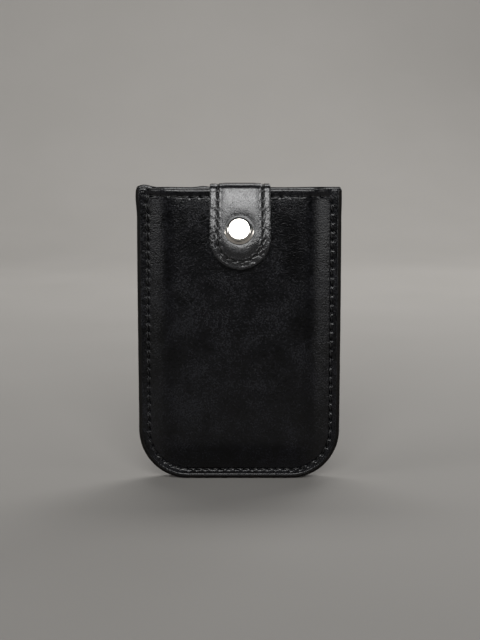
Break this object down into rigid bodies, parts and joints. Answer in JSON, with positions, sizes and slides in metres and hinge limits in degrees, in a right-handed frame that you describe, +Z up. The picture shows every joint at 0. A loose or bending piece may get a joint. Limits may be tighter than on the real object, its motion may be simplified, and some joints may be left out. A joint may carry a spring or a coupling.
{
  "type": "card holder",
  "caption": "Slim upright leather card holder; a snap strap over the mouth pulls out a stack of card pockets like stairs.",
  "frame": {"origin": "middle of the flat bottom edge, half way between the front and the back face", "axes": "+X to the right seen from the front, -Y out of the front face with the snap, +Z up towards the mouth"},
  "size_m": [0.075, 0.021, 0.1097],
  "materials": {
    "shell_leather": "oiled, glossy, mottled black",
    "pocket_leather": "satin black",
    "welt_leather": "matt dark spacer",
    "lining": "brushed microfibre",
    "board": "uncoated",
    "edge_coat": "matt edge paint",
    "thread": "waxed polyester",
    "nickel": "polished nickel plate",
    "spring_steel": "bright wire",
    "ribbon": "woven elastic tape"
  },
  "bodies": {
    "shell": {"front_leather": "shell_leather", "front_board": "board", "front_lining": "lining", "back_leather": "shell_leather", "back_board": "board", "back_lining": "lining", "seam_welt": "welt_leather", "edge_coat": "edge_coat", "front_stitching": "thread", "back_stitching": "thread", "stud_rivet": "nickel", "snap_stud": "nickel", "ribbon_1": "ribbon"},
    "pocket_1": {"pocket_1_front_ply": "pocket_leather", "pocket_1_welt": "pocket_leather", "pocket_1_back_ply": "pocket_leather", "pocket_1_thread": "thread", "ribbon_2": "ribbon"},
    "pocket_2": {"pocket_2_front_ply": "pocket_leather", "pocket_2_welt": "pocket_leather", "pocket_2_back_ply": "pocket_leather", "pocket_2_thread": "thread", "ribbon_3": "ribbon"},
    "pocket_3": {"pocket_3_front_ply": "pocket_leather", "pocket_3_welt": "pocket_leather", "pocket_3_back_ply": "pocket_leather", "pocket_3_thread": "thread", "ribbon_4": "ribbon"},
    "pocket_4": {"pocket_4_front_ply": "pocket_leather", "pocket_4_welt": "pocket_leather", "pocket_4_back_ply": "pocket_leather", "pocket_4_thread": "thread", "ribbon_5": "ribbon"},
    "pocket_5": {"pocket_5_front_ply": "pocket_leather", "pocket_5_welt": "pocket_leather", "pocket_5_back_ply": "pocket_leather", "pocket_5_thread": "thread", "strap_root_leather": "shell_leather", "strap_root_lining": "lining"},
    "strap_bridge": {"strap_bridge_leather": "shell_leather", "strap_bridge_lining": "lining", "strap_bridge_stitching": "thread"},
    "strap_flap": {"strap_flap_leather": "shell_leather", "strap_flap_lining": "lining", "strap_flap_stitching": "thread", "snap_cap": "nickel", "snap_post": "nickel", "snap_socket": "nickel", "snap_spring": "spring_steel"}
  },
  "joints": [
    {"name": "pocket_1_slide", "type": "slide", "parent": "shell", "child": "pocket_1", "axis": [0, 0, 1], "range_m": [0, 0.013], "deforming": ["ribbon_1"]},
    {"name": "pocket_2_slide", "type": "slide", "parent": "pocket_1", "child": "pocket_2", "axis": [0, 0, 1], "range_m": [0, 0.013], "deforming": ["ribbon_2"]},
    {"name": "pocket_3_slide", "type": "slide", "parent": "pocket_2", "child": "pocket_3", "axis": [0, 0, 1], "range_m": [0, 0.013], "deforming": ["ribbon_3"]},
    {"name": "pocket_4_slide", "type": "slide", "parent": "pocket_3", "child": "pocket_4", "axis": [0, 0, 1], "range_m": [0, 0.013], "deforming": ["ribbon_4"]},
    {"name": "pocket_5_slide", "type": "slide", "parent": "pocket_4", "child": "pocket_5", "axis": [0, 0, 1], "range_m": [0, 0.013], "deforming": ["ribbon_5"]},
    {"name": "strap_lift", "type": "hinge", "parent": "pocket_5", "child": "strap_bridge", "pos_m": [0, 0.00541, 0.10881], "axis": [-1, 0, 0], "range_deg": [0, 90]},
    {"name": "flap_lift", "type": "hinge", "parent": "strap_bridge", "child": "strap_flap", "pos_m": [0, -0.01098, 0.10858], "axis": [-1, 0, 0], "range_deg": [0, 90]}
  ],
  "couplings": [
    {"joint": "pocket_2_slide", "follows": "pocket_1_slide", "ratio": 1},
    {"joint": "pocket_3_slide", "follows": "pocket_1_slide", "ratio": 1},
    {"joint": "pocket_4_slide", "follows": "pocket_1_slide", "ratio": 1},
    {"joint": "pocket_5_slide", "follows": "pocket_1_slide", "ratio": 1}
  ]
}
